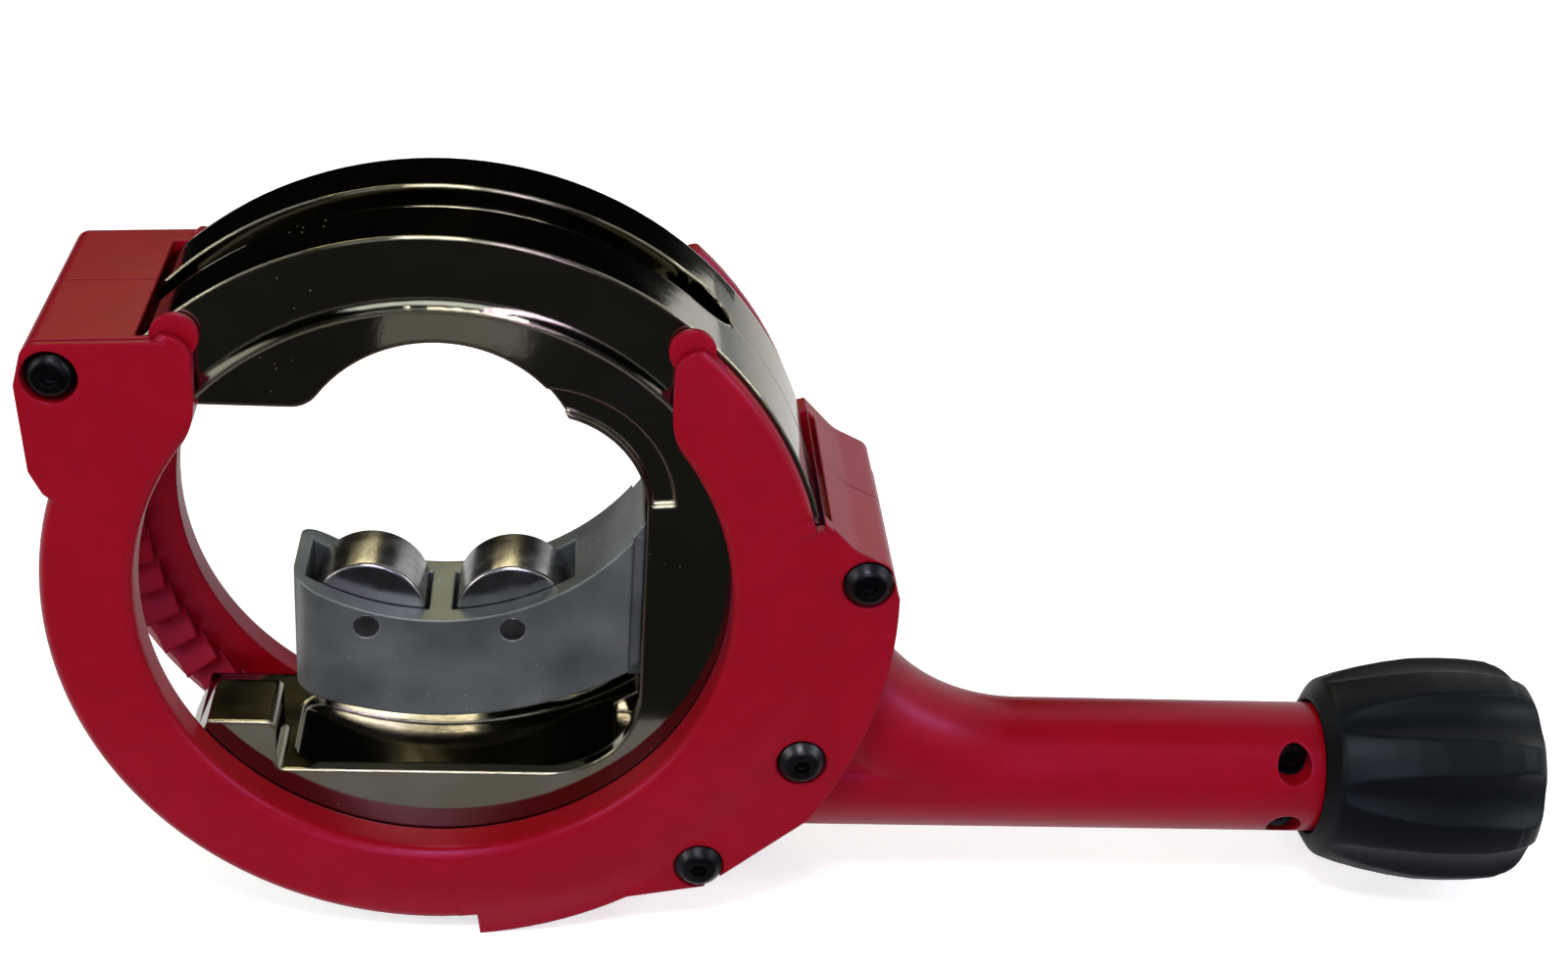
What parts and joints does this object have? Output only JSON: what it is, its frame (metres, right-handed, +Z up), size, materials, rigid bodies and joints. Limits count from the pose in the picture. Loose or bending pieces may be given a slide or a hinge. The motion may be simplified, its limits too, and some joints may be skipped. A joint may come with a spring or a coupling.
{
  "type": "tube cutter",
  "caption": "Ratcheting tube cutter with a rotating C-shaped head, a screw-fed jaw and a drive knob at the end of its grip.",
  "frame": {"origin": "on the turning axis of the head, half way through the head's thickness", "axes": "+X along the grip towards the knob, +Y along the tube away from the front shell, +Z up through the housing's opening"},
  "size_m": [0.2993, 0.0556, 0.1499],
  "materials": {
    "red_shell": "satin crimson moulding",
    "black_plastic": "satin",
    "black_screws": "black oxide",
    "dark_chrome": "dark bright plating",
    "cast_jaw": "grey speckled casting",
    "ground_steel": "ground",
    "spring_steel": "drawn wire",
    "bearing_bronze": "sintered"
  },
  "bodies": {
    "housing": {"front_shell": "red_shell", "rear_shell": "red_shell", "housing_screws": "black_screws", "handle_screws": "black_screws", "root_bush": "bearing_bronze", "end_bush": "black_plastic", "return_spring": "spring_steel"},
    "head": {"head_casting": "dark_chrome", "wheel_pin": "ground_steel", "pawl_spring_lower": "spring_steel", "pawl_spring_side": "spring_steel"},
    "wheel": {"cutter_wheel": "ground_steel"},
    "screw": {"feed_screw": "black_screws", "screw_retainer": "spring_steel"},
    "jaw": {"jaw": "cast_jaw", "roller_pins": "ground_steel"},
    "left_roller": {"roller_left": "ground_steel"},
    "right_roller": {"roller_right": "ground_steel"},
    "lower_pawl": {"pawl_lower": "ground_steel"},
    "side_pawl": {"pawl_side": "ground_steel"},
    "collar": {"spindle_collar": "bearing_bronze"},
    "drive": {"spindle": "ground_steel", "collar_clips": "spring_steel", "knob": "black_plastic", "knob_cap": "black_plastic", "knob_screw": "black_screws"}
  },
  "joints": [
    {"name": "head_turn", "type": "hinge", "parent": "housing", "child": "head", "pos_m": [0, 0, 0], "axis": [0, 1, 0], "continuous": true},
    {"name": "screw_turn", "type": "hinge", "parent": "head", "child": "screw", "pos_m": [0.0475, 0, 0], "axis": [0, 0, -1], "range_deg": [-2890, 5230]},
    {"name": "jaw_slide", "type": "slide", "parent": "head", "child": "jaw", "axis": [0, 0, 1], "range_m": [-0.016, 0.029]},
    {"name": "wheel_spin", "type": "hinge", "parent": "head", "child": "wheel", "pos_m": [0, 0, 0.0565], "axis": [0, 1, 0], "continuous": true},
    {"name": "left_roller_spin", "type": "hinge", "parent": "jaw", "child": "left_roller", "pos_m": [-0.014, 0, -0.01092], "axis": [0, 1, 0], "continuous": true},
    {"name": "right_roller_spin", "type": "hinge", "parent": "jaw", "child": "right_roller", "pos_m": [0.014, 0, -0.01092], "axis": [0, 1, 0], "continuous": true},
    {"name": "lower_pawl_slide", "type": "slide", "parent": "head", "child": "lower_pawl", "axis": [0, -1, 0], "range_m": [0, 0.0042], "stiffness_N_per_m": 400, "springref_m": -0.004, "deforming": ["pawl_spring_lower"]},
    {"name": "side_pawl_slide", "type": "slide", "parent": "head", "child": "side_pawl", "axis": [0, -1, 0], "range_m": [0, 0.0042], "stiffness_N_per_m": 400, "springref_m": -0.004, "deforming": ["pawl_spring_side"]},
    {"name": "knob_push", "type": "slide", "parent": "housing", "child": "collar", "axis": [-1, 0, 0], "range_m": [0, 0.008], "stiffness_N_per_m": 500, "springref_m": -0.01, "deforming": ["return_spring"]},
    {"name": "knob_turn", "type": "hinge", "parent": "collar", "child": "drive", "pos_m": [0.12, 0, -0.0475], "axis": [1, 0, 0], "continuous": true}
  ],
  "couplings": [
    {"joint": "screw_turn", "follows": "jaw_slide", "rad_per_m": 3141.6}
  ]
}
